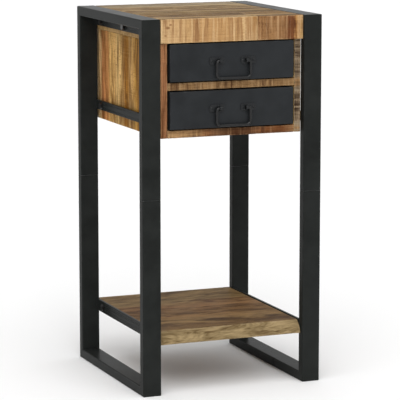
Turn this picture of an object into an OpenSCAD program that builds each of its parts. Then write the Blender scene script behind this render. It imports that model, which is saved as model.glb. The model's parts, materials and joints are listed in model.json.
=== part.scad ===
// Side table: two steel side frames carry a thick wooden top, a cabinet with two drawers and a
// live-edge shelf. Millimetres. X runs left to right, the drawers open towards -Y, and Z is up.
// The origin is on the floor, under the middle of the table.

/* [Table] */
// Overall width, outside to outside of the side frames
table_w = 400; // [330:1:500]
// Overall depth, front of the front legs to back of the back legs
table_d = 400; // [330:1:500]
// Overall height
table_h = 780; // [640:1:940]

/* [Side frames] */
// Width of the steel tube, seen from the front
tube_w = 40; // [32:0.5:50]
// Thickness of the steel tube, seen from the side
tube_t = 20; // [16:0.5:26]
// Wall of the steel tube
tube_wall = 1.5; // [1.2:0.1:2]
// Outer corner radius of the steel tube
tube_r = 2.5; // [2.1:0.1:4]
// Height of the seam where the upper frame stands on the lower one
seam_z = 410; // [340:1:500]
// Gap left at the seam
seam_gap = 0.4; // [0.2:0.1:1]
// Length of the sleeve inside each leg
sleeve_len = 90; // [70:1:120]
// Wall of the sleeve
sleeve_wall = 2; // [1.5:0.1:3]
// Clearance between sleeve and tube, each side
sleeve_fit = 0.15; // [0.1:0.05:0.3]

/* [Side bars] */
// Thickness of the flat bars between the legs
bar_t = 5; // [4:0.5:7]
// Height of the bars under the top rails
top_bar_h = 20; // [18:1:26]
// Height of the bars beside the cabinet
cabinet_bar_h = 20; // [18:1:26]
// Height of the bars beside the shelf
shelf_bar_h = 25; // [18:1:32]
// From the underside of the cabinet to its bar
cabinet_bar_lift = 22; // [18:1:30]
// From the underside of the shelf to its bar
shelf_bar_lift = 3; // [0:0.5:6]

/* [Top] */
// Thickness of the top
top_t = 50; // [36:1:64]
// Gap between the top and the side frames
top_gap = 1.5; // [1:0.1:3]
// Setback of the top from the front and back of the legs
top_inset = 3; // [1:0.5:8]
// Where the two lengths of the front board meet, from the middle
top_butt_x = 55; // [-90:1:90]

/* [Cabinet] */
// Height of the cabinet
cabinet_h = 195; // [160:1:240]
// Gap between the cabinet and the side frames
cabinet_gap = 3.5; // [3:0.5:10]
// Setback of the cabinet from the front of the legs
cabinet_front_inset = 10; // [8:0.5:16]
// Setback of the cabinet from the back of the legs
cabinet_back_inset = 5; // [2:0.5:16]
// Thickness of the cabinet sides
side_t = 15; // [13:0.5:20]
// Thickness of the cabinet floor and of the divider
floor_t = 16; // [12:0.5:20]
// Thickness of the cabinet back
back_t = 12; // [8:0.5:18]

/* [Drawers] */
// Gap beside each drawer front
front_side_gap = 3.5; // [2:0.5:6]
// Gap above and below each drawer front
front_gap = 2; // [1.5:0.5:4]
// How far the drawer fronts stand proud of the cabinet
front_proud = 6; // [0:0.5:8]
// Thickness of a drawer front, steel skin and wood core together
front_t = 20; // [16:0.5:26]
// Thickness of the steel skin
skin_t = 1.2; // [0.8:0.1:2]
// Gap between the drawer box and the cabinet side
box_side_gap = 5; // [3:0.5:7]
// Thickness of the drawer sides and back
box_t = 12; // [10:0.5:15]
// Gap between the drawer box and the cleats above it
box_top_gap = 4.5; // [3:0.5:10]
// Drawer box above the lower edge of its front
box_lift = 5; // [3:0.5:8]
// Thickness of the drawer bottom
bottom_t = 5; // [3:0.5:8]
// Space behind a closed drawer
box_back_gap = 8; // [4:1:20]
// Height of the runners
runner_h = 12; // [8:0.5:16]
// Thickness of the runners
runner_t = 9; // [8:0.5:10]
// Clearance round a runner in its groove
runner_fit = 0.4; // [0.3:0.1:0.8]

/* [Handles] */
// Height of the hinge axis above the lower edge of the drawer front
axis_lift = 40.5; // [36:0.5:46]
// Distance between the legs of a bail, middle to middle
bail_w = 75; // [60:0.5:110]
// Drop of a bail, from its axis to the middle of the grip
bail_drop = 35.5; // [28:0.5:42]
// Diameter of the bail
rod_d = 6; // [5:0.25:7]
// Bend radius at the grip
grip_r = 9; // [6:0.5:14]
// Bend radius at the hooked ends
hook_r = 5.2; // [4:0.1:7]
// Length of the eyelet barrel
eye_len = 5; // [4:0.5:8]
// Wall of the eyelet barrel
eye_wall = 1.7; // [1.2:0.1:2.5]
// Radial clearance of the bail in its eyelet
eye_fit = 0.08; // [0.04:0.01:0.1]
// Length of the handle plate
plate_w = 34; // [30:0.5:44]
// Height of the handle plate
plate_h = 15; // [12:0.5:20]
// Thickness of the handle plate
plate_t = 1.5; // [1:0.1:2.5]
// Distance between the two rivets of a plate
rivet_pitch = 24; // [20:0.5:34]

/* [Shelf] */
// Height of the underside of the shelf above the floor
shelf_z = 105; // [70:1:160]
// Thickness of the shelf
shelf_t = 27; // [22:1:34]
// Setback of the shelf's lower front edge
shelf_front_inset = 5; // [2:0.5:12]
// Setback of the shelf's back edge
shelf_back_inset = 3; // [2:0.5:12]
// How far the live edge leans back
live_edge = 15; // [4:0.5:25]

/* [Fixings] */
// Diameter of the coach screws
coach_d = 8; // [6:0.5:8]
// Width across the flats of their heads
coach_af = 13; // [10:0.5:13]
// Height of their heads
coach_head = 5.3; // [4:0.1:6]
// Coach screws from the front and back of the legs
coach_y = 60; // [45:1:80]
// How deep the coach screws go into the top and the shelf
coach_deep = 32; // [20:1:45]
// How deep the coach screws go into the cabinet sides
coach_shallow = 11; // [8:0.5:12]
// Diameter of the spacer washers
washer_d = 17; // [14:0.5:18]
// Diameter of the dowels
dowel_d = 8; // [6:0.5:8]
// Length of the dowels
dowel_len = 30; // [24:1:40]
// Diameter of the wood screws
screw_d = 3.5; // [3:0.1:4.5]
// Length of the wood screws
screw_len = 21; // [18:0.5:22]
// Diameter of the wood screws' heads
screw_head = 7; // [6:0.1:8]

/* [Hidden] */
$fn = 48;
left = -1;
right = 1;
play = 0.1;     // radial clearance of a fixing in its hole
over = 1;       // how far a cutter passes its surface
least_r = 0.3;  // smallest inner corner radius of a tube

// Frame
leg_y = table_d / 2 - tube_t / 2;
frame_in = table_w / 2 - tube_w;            // inner face of a side frame
span_d = table_d - 2 * tube_t;              // clear depth between the legs
bar_x = frame_in + bar_t / 2;
screw_rise = sleeve_len / 4;                // set screws from the seam
set_d = 6;
set_socket = 3;                             // across the flats of a set screw's socket

// Top
top_z = table_h - top_t;
top_half = frame_in - top_gap;
top_front = -table_d / 2 + top_inset;
top_d = table_d - 2 * top_inset;
board_share = [0.27, 0.29, 0.24, 0.20];     // depth of each board, front to back
top_bar_z = table_h - tube_t - top_bar_h / 2;

// Cabinet
cabinet_z = top_z - cabinet_h;
cabinet_half = frame_in - cabinet_gap;
cabinet_front = -table_d / 2 + cabinet_front_inset;
cabinet_back = table_d / 2 - cabinet_back_inset;
bay_half = cabinet_half - side_t;
bay_h = (cabinet_h - 2 * floor_t) / 2;
bay_z = [cabinet_z + floor_t + bay_h + floor_t, cabinet_z + floor_t];   // upper, lower
back_y = cabinet_back - back_t;
cabinet_bar_z = cabinet_z + cabinet_bar_lift + cabinet_bar_h / 2;
dowel_entry = 9;
cleat = 12;                                 // square section of the cleats under the top
cleat_d = span_d * 0.8;
cleat_row_y = cleat_d * 0.36;               // cleat screws from the middle
cleat_rows = [-cleat_row_y, cleat_row_y];

// Drawers
drawer_half = bay_half - front_side_gap;
drawer_h = bay_h - 2 * front_gap;
face_y = cabinet_front - front_proud;
core_back = face_y + front_t;
box_half = bay_half - box_side_gap;
box_h = bay_h - cleat - front_gap - box_lift - box_top_gap;
box_end = back_y - box_back_gap;
housing = 6;                                // depth the drawer sides enter the core
groove = 4;                                 // depth of the grooves for the drawer bottom
bottom_lift = 8;                            // drawer bottom above the lower edge of the box
runner_stop = 8;                            // the groove's closed end behind the core
runner_gap = 2;                             // between a runner and the cabinet back
runner_inset = 25;                          // screws from the ends of a runner
runner_front = core_back + runner_stop;
runner_back = back_y - runner_gap;
runner_rows = [runner_front + runner_inset, runner_back - runner_inset];
runner_x = bay_half - runner_t / 2;
runner_rise = front_gap + box_lift + box_h / 2;         // runner centre above the bay floor

// Handles
rod_r = rod_d / 2;
eye_r = rod_r + eye_fit + eye_wall;
eye_stand = 0.3;                            // barrel off its plate
eye_side = 0.3;                             // barrel to the bend of the bail
tip_out = 0.8;                              // how far the bail's tip shows past its barrel
eye_off = 5.5;                              // barrel from the middle of its plate
plate_r = plate_h / 3;
axis_y = face_y - plate_t - eye_r - eye_stand;
bend_x = bail_w / 2 - hook_r;               // where the hooked end turns down
eye_x = bend_x - eye_side - eye_len / 2;
tip_x = eye_x - eye_len / 2 - tip_out;
plate_x = eye_x + eye_off;
rivet_d = 3;
rivet_head = 5.4;
rivet_head_h = 1.6;
rivet_len = 10;

// Shelf
shelf_half = frame_in - top_gap;
shelf_front = -table_d / 2 + shelf_front_inset;
shelf_back = table_d / 2 - shelf_back_inset;
shelf_bar_z = shelf_z + shelf_bar_lift + shelf_bar_h / 2;
coach_rows = [-table_d / 2 + coach_y, table_d / 2 - coach_y];
top_rows = [-table_d / 2 + coach_y, 0, table_d / 2 - coach_y];

steel = "#303234";
bright = "#8d8f90";
iron = "#242425";
plywood = "#cdb68c";
pale = "#cda66f";
honey = "#bd9157";
brown = "#9c6b42";
grey_wood = "#9a8360";

// ---- Shapes that repeat ----

// A box between two opposite corners
module block(low, high) {
    translate(low) cube(high - low);
}

// A rectangle with round corners, centred
module round_rect(w, h, r) {
    square([w - 2 * r, h], center = true);
    square([w, h - 2 * r], center = true);
    for (x = [-1, 1], y = [-1, 1])
        translate([x * (w / 2 - r), y * (h / 2 - r)]) circle(r = r);
}

// Cross-section of a rectangular tube
module tube_ring(w, h, r, wall) {
    difference() {
        round_rect(w, h, r);
        round_rect(w - 2 * wall, h - 2 * wall, max(r - wall, least_r));
    }
}

// Stands a child that was made along Z along X instead, pointing outwards on one side
module outward(side, at) {
    translate(at) rotate([0, side * 90, 0]) children();
}

// A coach screw along Z: its head is above z = 0 and its shank goes down
module coach_screw(shank) {
    // the pointed end is as long as the shank is thick
    cylinder(d = coach_af / cos(30), h = coach_head, $fn = 6);
    translate([0, 0, coach_d - shank]) cylinder(d = coach_d, h = shank - coach_d + over / 2);
    translate([0, 0, -shank]) cylinder(d1 = coach_d / 4, d2 = coach_d, h = coach_d);
}

// The hole that a coach screw leaves, from z = 0 down
module coach_hole(deep) {
    translate([0, 0, -deep]) cylinder(d = coach_d + 2 * play, h = deep + over);
}

// A flat washer along Z
module washer(thick) {
    difference() {
        cylinder(d = washer_d, h = thick);
        translate([0, 0, -over]) cylinder(d = coach_d + 2 * play, h = thick + 2 * over);
    }
}

// A countersunk wood screw along Z: its head is flush with z = 0 and its shank goes down
module wood_screw(grow = 0) {
    head_h = (screw_head - screw_d) / 2;
    translate([0, 0, -head_h]) cylinder(d1 = screw_d + 2 * grow, d2 = screw_head + 2 * grow, h = head_h);
    translate([0, 0, -screw_len - grow]) cylinder(d = screw_d + 2 * grow, h = screw_len - head_h + grow);
    if (grow > 0)
        cylinder(d = screw_head + 2 * grow, h = over);
}

// ---- Side frames ----

// A U of mitred tube: a rail on z = 0 and two legs, centred on X = 0
module u_frame(leg_h) {
    y = table_d / 2;
    // everything above the two mitre planes, then everything below them
    for (turn = [0, 180])
        rotate(turn) intersection() {
            translate([0, -leg_y, 0]) linear_extrude(leg_h) tube_ring(tube_w, tube_t, tube_r, tube_wall);
            rotate([90, 0, 90]) linear_extrude(tube_w + 2 * over, center = true)
                polygon([[-y - over, -over], [-y + tube_t + over, tube_t + over],
                         [-y + tube_t + over, leg_h + over], [-y - over, leg_h + over]]);
        }
    intersection() {
        translate([0, 0, tube_t / 2]) rotate([90, 0, 0])
            linear_extrude(table_d + 2 * over, center = true) tube_ring(tube_w, tube_t, tube_r, tube_wall);
        rotate([90, 0, 90]) linear_extrude(tube_w + 2 * over, center = true)
            polygon([[-y - over, -over], [y + over, -over],
                     [y - tube_t - over, tube_t + over], [-y + tube_t + over, tube_t + over]]);
    }
}

// Places a child at the back face of both legs of a frame, at one height and pointing backwards
module at_set_screws(z) {
    for (y = [-leg_y + tube_t / 2, leg_y + tube_t / 2])
        translate([0, y, z]) rotate([-90, 0, 0]) children();
}

module lower_frame(side) {
    color(steel) translate([side * (frame_in + tube_w / 2), 0, 0]) difference() {
        u_frame(seam_z - seam_gap / 2);
        at_set_screws(seam_z - screw_rise)
            translate([0, 0, -tube_t / 2]) cylinder(d = set_d + 2 * play, h = tube_t);
    }
}

module upper_frame(side) {
    color(steel) translate([side * (frame_in + tube_w / 2), 0, 0]) difference() {
        translate([0, 0, table_h]) mirror([0, 0, 1]) u_frame(table_h - seam_z - seam_gap / 2);
        at_set_screws(seam_z + screw_rise)
            translate([0, 0, -tube_t / 2]) cylinder(d = set_d + 2 * play, h = tube_t);
    }
}

// A tube inside the leg, half in the lower frame and half in the upper one
module sleeve(side, end) {
    w = tube_w - 2 * (tube_wall + sleeve_fit);
    t = tube_t - 2 * (tube_wall + sleeve_fit);
    r = max(tube_r - tube_wall - sleeve_fit, least_r);
    color(bright) translate([side * (frame_in + tube_w / 2), end * leg_y, seam_z]) difference() {
        translate([0, 0, -sleeve_len / 2]) linear_extrude(sleeve_len) tube_ring(w, t, r, sleeve_wall);
        for (z = [-screw_rise, screw_rise])
            translate([0, 0, z]) rotate([-90, 0, 0]) cylinder(d = set_d + play, h = tube_t);
    }
}

// Two set screws in each leg, flush with its back face
module sleeve_screws() {
    long = tube_wall + sleeve_fit + sleeve_wall;
    color(bright) for (side = [left, right], z = [seam_z - screw_rise, seam_z + screw_rise])
        translate([side * (frame_in + tube_w / 2), 0, 0]) at_set_screws(z) difference() {
            translate([0, 0, -long]) cylinder(d = set_d, h = long);
            translate([0, 0, -long / 2]) cylinder(d = set_socket / cos(30), h = long, $fn = 6);
        }
}

// ---- Side bars ----

// A flat bar between the legs, drilled for coach screws
module side_bar(side, z, h, rows) {
    color(steel) difference() {
        translate([side * bar_x, 0, z]) cube([bar_t, span_d, h], center = true);
        for (y = rows)
            outward(side, [side * (frame_in + bar_t), y, z]) coach_hole(bar_t + over);
    }
}

module top_bolts() {
    color(bright) for (side = [left, right], y = top_rows)
        outward(side, [side * (frame_in + bar_t), y, top_bar_z])
            coach_screw(bar_t + top_gap + coach_deep);
}

module cabinet_bolts() {
    color(bright) for (side = [left, right], y = coach_rows)
        outward(side, [side * (frame_in + bar_t), y, cabinet_bar_z])
            coach_screw(bar_t + cabinet_gap + coach_shallow);
}

module shelf_bolts() {
    color(bright) for (side = [left, right], y = coach_rows)
        outward(side, [side * (frame_in + bar_t), y, shelf_bar_z])
            coach_screw(bar_t + top_gap + coach_deep);
}

// Thin washers that keep the top and the shelf off the bars
module edge_washers() {
    color(bright) for (side = [left, right]) {
        for (y = top_rows)
            outward(side, [side * top_half, y, top_bar_z]) washer(top_gap);
        for (y = coach_rows)
            outward(side, [side * shelf_half, y, shelf_bar_z]) washer(top_gap);
    }
}

module cabinet_spacers() {
    color(bright) for (side = [left, right], y = coach_rows)
        outward(side, [side * cabinet_half, y, cabinet_bar_z]) washer(cabinet_gap);
}

// ---- Top ----

// Depth of all the boards in front of one
function share_before(i) = i == 0 ? 0 : board_share[i - 1] + share_before(i - 1);

// One board of the top, between two places across its width
module top_board(i, x0, x1, tint) {
    y0 = top_front + top_d * share_before(i);
    y1 = y0 + top_d * board_share[i];
    color(tint) difference() {
        block([x0, y0, top_z], [x1, y1, table_h]);
        for (side = [left, right], y = top_rows)
            outward(side, [side * top_half, y, top_bar_z]) coach_hole(coach_deep);
        for (side = [left, right], y = cleat_rows)
            at_cleat_screw(side, y) wood_screw(play);
    }
}

// ---- Cabinet ----

// Places a wood screw in a cleat: head below, shank up into the top
module at_cleat_screw(side, y) {
    translate([side * (bay_half - cleat / 2), y, top_z - cleat]) rotate([180, 0, 0]) children();
}

// Places a wood screw in a runner: head inside the drawer bay, shank into the cabinet side
module at_runner_screw(side, bay, y) {
    translate([side * (bay_half - runner_t), y, bay_z[bay] + runner_rise])
        rotate([0, -side * 90, 0]) children();
}

// Places a dowel hole: its middle is on the inner face of a cabinet side
module at_dowels(side) {
    for (z = [cabinet_z + floor_t / 2, bay_z[0] - floor_t / 2], y = top_rows)
        translate([side * bay_half, y, z]) rotate([0, side * 90, 0]) children();
}

// A dowel enters the side by its entry and the board by the rest
module dowel(grow = 0) {
    translate([0, 0, dowel_entry - dowel_len - grow])
        cylinder(d = dowel_d + 2 * grow, h = dowel_len + 2 * grow);
}

module cabinet_side(side, tint) {
    x = [side * bay_half, side * cabinet_half];
    color(tint) difference() {
        block([min(x), cabinet_front, cabinet_z], [max(x), cabinet_back, top_z]);
        for (y = coach_rows)
            outward(side, [side * cabinet_half, y, cabinet_bar_z]) coach_hole(coach_shallow);
        at_dowels(side) dowel(play);
        for (bay = [0, 1], y = runner_rows)
            at_runner_screw(side, bay, y) wood_screw(play);
    }
}

// A board across the cabinet, drilled at both ends for its dowels
module cross_board(z, y_end, tint) {
    color(tint) difference() {
        block([-bay_half, cabinet_front, z], [bay_half, y_end, z + floor_t]);
        for (side = [left, right])
            at_dowels(side) dowel(play);
    }
}

module cabinet_floor() {
    cross_board(cabinet_z, cabinet_back, brown);
}

module cabinet_divider() {
    cross_board(bay_z[0] - floor_t, back_y, honey);
}

module cabinet_back_panel() {
    color(honey) block([-bay_half, back_y, cabinet_z + floor_t], [bay_half, cabinet_back, top_z]);
}

module cabinet_dowels() {
    color(plywood) for (side = [left, right])
        at_dowels(side) dowel();
}

// A strip under the top that holds it to the cabinet
module top_cleat(side) {
    x = [side * (bay_half - cleat), side * bay_half];
    color(plywood) difference() {
        block([min(x), -cleat_d / 2, top_z - cleat], [max(x), cleat_d / 2, top_z]);
        for (y = cleat_rows)
            at_cleat_screw(side, y) wood_screw(play);
    }
}

// The strip that one side of a drawer slides on
module runner(side, bay) {
    z = bay_z[bay] + runner_rise;
    color(plywood) difference() {
        translate([side * runner_x, (runner_front + runner_back) / 2, z])
            cube([runner_t, runner_back - runner_front, runner_h], center = true);
        for (y = runner_rows)
            at_runner_screw(side, bay, y) wood_screw(play);
    }
}

module cabinet_screws() {
    color(bright) for (side = [left, right]) {
        for (y = cleat_rows)
            at_cleat_screw(side, y) wood_screw();
        for (bay = [0, 1], y = runner_rows)
            at_runner_screw(side, bay, y) wood_screw();
    }
}

// ---- Shelf ----

// Its front leans back from the lower edge, steeper above than below
module shelf_board() {
    upper_y = shelf_front + live_edge;
    upper_z = shelf_z + shelf_t;
    color(grey_wood) difference() {
        rotate([90, 0, 90]) linear_extrude(2 * shelf_half, center = true)
            polygon([[shelf_front, shelf_z], [shelf_back, shelf_z], [shelf_back, upper_z],
                     [upper_y, upper_z], [shelf_front + live_edge / 4, shelf_z + shelf_t / 2]]);
        for (side = [left, right], y = coach_rows)
            outward(side, [side * shelf_half, y, shelf_bar_z]) coach_hole(coach_deep);
    }
}

// ---- Drawers: bay 0 is the upper one, bay 1 the lower one ----

function front_z(bay) = bay_z[bay] + front_gap;
function box_z(bay) = front_z(bay) + box_lift;
function axis_z(bay) = front_z(bay) + axis_lift;

// The sheet steel folded over the front and edges of a drawer front
module drawer_skin(bay) {
    z = front_z(bay);
    color(steel) difference() {
        block([-drawer_half, face_y, z], [drawer_half, core_back, z + drawer_h]);
        block([-drawer_half + skin_t, face_y + skin_t, z + skin_t],
              [drawer_half - skin_t, core_back + over, z + drawer_h - skin_t]);
        at_rivets(bay) rivet_hole();
    }
}

module drawer_core(bay) {
    z = front_z(bay);
    color(honey) difference() {
        block([-drawer_half + skin_t, face_y + skin_t, z + skin_t],
              [drawer_half - skin_t, core_back, z + drawer_h - skin_t]);
        for (side = [left, right]) {
            x = [side * (box_half - box_t), side * box_half];
            block([min(x), core_back - housing, box_z(bay)],
                  [max(x), core_back + over, box_z(bay) + box_h]);
        }
        drawer_bottom_space(bay);
        at_rivets(bay) rivet_hole();
    }
}

// The space that the drawer bottom fills, grooves included
module drawer_bottom_space(bay) {
    x = box_half - box_t + groove;
    z = box_z(bay) + bottom_lift;
    block([-x, core_back - groove, z], [x, box_end - box_t + groove, z + bottom_t]);
}

module drawer_side(side, bay) {
    x = [side * (box_half - box_t), side * box_half];
    z = box_z(bay);
    runner_z = bay_z[bay] + runner_rise;
    // the runner's groove is open at the back and stops the drawer at the front
    color(pale) difference() {
        block([min(x), core_back - housing, z], [max(x), box_end, z + box_h]);
        translate([side * runner_x, 0, runner_z]) translate([0, (runner_front + box_end + over) / 2, 0])
            cube([runner_t + 2 * runner_fit, box_end + over - runner_front + 2 * runner_fit,
                  runner_h + 2 * runner_fit], center = true);
        drawer_bottom_space(bay);
        at_box_screws(side, bay) wood_screw(play);
    }
}

module drawer_back(bay) {
    x = box_half - box_t;
    z = box_z(bay);
    color(pale) difference() {
        block([-x, box_end - box_t, z], [x, box_end, z + box_h]);
        drawer_bottom_space(bay);
        for (side = [left, right])
            at_box_screws(side, bay) wood_screw(play);
    }
}

module drawer_bottom(bay) {
    color(plywood) drawer_bottom_space(bay);
}

// Places the wood screws that hold a drawer side to the back: one above and one below the runner
module at_box_screws(side, bay) {
    for (z = [box_z(bay) + bottom_lift / 2, box_z(bay) + box_h - bottom_lift])
        translate([side * box_half, box_end - box_t / 2, z]) rotate([0, side * 90, 0]) children();
}

module drawer_screws(bay) {
    color(bright) for (side = [left, right])
        at_box_screws(side, bay) wood_screw();
}

// ---- Handles ----

// Places a rivet on the drawer face, pointing forwards, at each of the four places
module at_rivets(bay) {
    for (side = [left, right], end = [-1, 1])
        translate([side * plate_x + end * rivet_pitch / 2, face_y, axis_z(bay)])
            rotate([90, 0, 0]) children();
}

module rivet_hole() {
    translate([0, 0, -rivet_len - play]) cylinder(d = rivet_d + 2 * play, h = rivet_len + 2 * over);
}

// A plate with a barrel that the bail hooks into, on each side
module handle_plates(bay) {
    color(iron) for (side = [left, right]) difference() {
        union() {
            translate([side * plate_x, face_y, axis_z(bay)]) rotate([90, 0, 0])
                linear_extrude(plate_t) round_rect(plate_w, plate_h, plate_r);
            translate([side * eye_x, (face_y - plate_t + axis_y) / 2, axis_z(bay)])
                cube([eye_len, face_y - plate_t - axis_y + over / 2, 2 * eye_r], center = true);
            translate([side * eye_x, axis_y, axis_z(bay)]) rotate([0, 90, 0])
                cylinder(r = eye_r, h = eye_len, center = true);
        }
        translate([side * eye_x, axis_y, axis_z(bay)]) rotate([0, 90, 0])
            cylinder(r = rod_r + eye_fit, h = eye_len + over, center = true);
        at_rivets(bay) rivet_hole();
    }
}

module handle_rivets(bay) {
    ball = (rivet_head * rivet_head / 4 + rivet_head_h * rivet_head_h) / (2 * rivet_head_h);
    color(iron) at_rivets(bay) {
        translate([0, 0, -rivet_len]) cylinder(d = rivet_d, h = rivet_len + plate_t + over / 4);
        translate([0, 0, plate_t]) intersection() {
            translate([0, 0, rivet_head_h - ball]) sphere(r = ball);
            cylinder(d = rivet_head + over, h = rivet_head_h);
        }
    }
}

// A quarter bend of rod about Z, from +X towards +Y, at a distance from the origin
module bend(r) {
    rotate_extrude(angle = 90) translate([r, 0]) circle(d = rod_d);
}

// The bail hangs in the plane y = axis_y with its hooked ends in the two barrels
module bail(bay) {
    leg_x = bail_w / 2;
    leg_len = bail_drop - hook_r - grip_r;
    color(iron) translate([0, axis_y, axis_z(bay)]) {
        for (side = [left, right]) mirror([side < 0 ? 1 : 0, 0, 0]) {
            translate([tip_x, 0, 0]) rotate([0, 90, 0]) cylinder(d = rod_d, h = bend_x - tip_x);
            translate([bend_x, 0, -hook_r]) rotate([90, 0, 0]) bend(hook_r);
            translate([leg_x, 0, -hook_r - leg_len]) cylinder(d = rod_d, h = leg_len);
            translate([leg_x - grip_r, 0, grip_r - bail_drop]) rotate([-90, 0, 0]) bend(grip_r);
        }
        translate([0, 0, -bail_drop]) rotate([0, 90, 0])
            cylinder(d = rod_d, h = bail_w - 2 * grip_r, center = true);
    }
}

upper_frame(left);  // left_upper_frame
upper_frame(right);  // right_upper_frame
lower_frame(left);  // left_lower_frame
lower_frame(right);  // right_lower_frame
sleeve(left, -1);  // left_front_sleeve
sleeve(left, 1);  // left_back_sleeve
sleeve(right, -1);  // right_front_sleeve
sleeve(right, 1);  // right_back_sleeve
sleeve_screws();
side_bar(left, top_bar_z, top_bar_h, top_rows);  // left_top_bar
side_bar(right, top_bar_z, top_bar_h, top_rows);  // right_top_bar
side_bar(left, cabinet_bar_z, cabinet_bar_h, coach_rows);  // left_cabinet_bar
side_bar(right, cabinet_bar_z, cabinet_bar_h, coach_rows);  // right_cabinet_bar
side_bar(left, shelf_bar_z, shelf_bar_h, coach_rows);  // left_shelf_bar
side_bar(right, shelf_bar_z, shelf_bar_h, coach_rows);  // right_shelf_bar
top_bolts();
cabinet_bolts();
shelf_bolts();
edge_washers();
cabinet_spacers();
top_board(0, -top_half, top_butt_x, pale);  // top_front_left_board
top_board(0, top_butt_x, top_half, brown);  // top_front_right_board
top_board(1, -top_half, top_half, honey);  // top_second_board
top_board(2, -top_half, top_half, grey_wood);  // top_third_board
top_board(3, -top_half, top_half, honey);  // top_back_board
cabinet_side(left, honey);  // cabinet_left_side
cabinet_side(right, grey_wood);  // cabinet_right_side
cabinet_floor();
cabinet_divider();
cabinet_back_panel();
cabinet_dowels();
top_cleat(left);  // left_cleat
top_cleat(right);  // right_cleat
runner(left, 0);  // upper_left_runner
runner(right, 0);  // upper_right_runner
runner(left, 1);  // lower_left_runner
runner(right, 1);  // lower_right_runner
cabinet_screws();
shelf_board();
drawer_skin(0);  // upper_drawer_skin
drawer_core(0);  // upper_drawer_core
drawer_side(left, 0);  // upper_drawer_left_side
drawer_side(right, 0);  // upper_drawer_right_side
drawer_back(0);  // upper_drawer_back
drawer_bottom(0);  // upper_drawer_bottom
drawer_screws(0);  // upper_drawer_screws
handle_plates(0);  // upper_handle_plates
handle_rivets(0);  // upper_handle_rivets
bail(0);  // upper_bail
drawer_skin(1);  // lower_drawer_skin
drawer_core(1);  // lower_drawer_core
drawer_side(left, 1);  // lower_drawer_left_side
drawer_side(right, 1);  // lower_drawer_right_side
drawer_back(1);  // lower_drawer_back
drawer_bottom(1);  // lower_drawer_bottom
drawer_screws(1);  // lower_drawer_screws
handle_plates(1);  // lower_handle_plates
handle_rivets(1);  // lower_handle_rivets
bail(1);  // lower_bail
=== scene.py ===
import json
import math

import bpy
import numpy as np
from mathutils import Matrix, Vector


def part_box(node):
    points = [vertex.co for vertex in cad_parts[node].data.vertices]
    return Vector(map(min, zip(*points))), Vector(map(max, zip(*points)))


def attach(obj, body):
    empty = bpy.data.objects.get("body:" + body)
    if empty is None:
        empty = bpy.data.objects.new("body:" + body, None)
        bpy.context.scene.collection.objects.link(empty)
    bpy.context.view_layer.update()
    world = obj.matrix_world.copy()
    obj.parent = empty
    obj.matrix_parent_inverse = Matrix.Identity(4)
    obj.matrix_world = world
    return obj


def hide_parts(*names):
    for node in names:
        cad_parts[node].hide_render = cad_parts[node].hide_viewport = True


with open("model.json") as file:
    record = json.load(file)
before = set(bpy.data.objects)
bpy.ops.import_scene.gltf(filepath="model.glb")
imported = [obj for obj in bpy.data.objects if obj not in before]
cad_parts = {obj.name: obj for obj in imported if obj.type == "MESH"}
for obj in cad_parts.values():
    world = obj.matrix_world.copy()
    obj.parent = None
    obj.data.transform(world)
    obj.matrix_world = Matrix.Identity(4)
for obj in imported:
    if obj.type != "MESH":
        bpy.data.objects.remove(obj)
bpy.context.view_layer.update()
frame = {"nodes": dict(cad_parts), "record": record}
nodes = frame["nodes"]
print("frame loaded:", len(nodes), "nodes")

axisX, axisY, axisZ = 0, 1, 2
noiseMiddle = 0.5               # a noise runs from 0 to 1 about this value


# shader sheet: a wrapped socket
class Wire:
    def __init__(self, socket):
        self.socket = socket
        self.tree = socket.id_data

    # any node: its type, its settings, then the values or links of its sockets
    def node(self, kind, settings=None, values=None, output=0):
        made = self.tree.nodes.new(kind)
        for name, setting in (settings or {}).items():
            if name == "stops":
                fillRamp(made.color_ramp, setting)
            else:
                setattr(made, name, setting)
        for name, value in (values or {}).items():
            if isinstance(value, Wire):
                self.tree.links.new(value.socket, made.inputs[name])
            else:
                made.inputs[name].default_value = value
        return Wire(made.outputs[output])

    def math(self, operation, *terms):
        return self.node("ShaderNodeMath", {"operation": operation}, dict(enumerate(terms)))

    def __add__(self, other):
        return self.math("ADD", self, other)

    def __radd__(self, other):
        return self.math("ADD", other, self)

    def __sub__(self, other):
        return self.math("SUBTRACT", self, other)

    def __rsub__(self, other):
        return self.math("SUBTRACT", other, self)

    def __mul__(self, other):
        return self.math("MULTIPLY", self, other)

    def __rmul__(self, other):
        return self.math("MULTIPLY", other, self)

    def __truediv__(self, other):
        return self.math("DIVIDE", self, other)

    def __rtruediv__(self, other):
        return self.math("DIVIDE", other, self)

    def __abs__(self):
        return self.math("ABSOLUTE", self)

    def most(self, other):
        return self.math("MAXIMUM", self, other)

    # 0 below low, 1 above high, smooth between
    def between(self, low, high):
        return self.node("ShaderNodeMapRange", {"interpolation_type": "SMOOTHSTEP"},
                         {"Value": self, "From Min": low, "From Max": high})

    # the colour of self, turned towards another by an amount
    def blendTo(self, other, amount, how="MIX"):
        return self.node("ShaderNodeMix", {"data_type": "RGBA", "blend_type": how},
                         {0: amount, 6: self, 7: other}, output=2)

    def stretched(self, scale, shift=(0, 0, 0)):
        return self.node("ShaderNodeVectorMath", {"operation": "MULTIPLY_ADD"},
                         {0: self, 1: scale, 2: shift})

    def plus(self, other):
        return self.node("ShaderNodeVectorMath", {"operation": "ADD"}, {0: self, 1: other})

    def noise(self, scale=1.0, detail=2.0, rough=0.5, wobble=0.0):
        return self.node("ShaderNodeTexNoise", None, {
            "Vector": self, "Scale": scale, "Detail": detail, "Roughness": rough, "Distortion": wobble})

    def parts(self):
        split = self.node("ShaderNodeSeparateXYZ", None, {0: self}).socket.node
        return [Wire(output) for output in split.outputs]

    def ramp(self, stops):
        return self.node("ShaderNodeValToRGB", {"stops": stops}, {"Fac": self})


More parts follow.
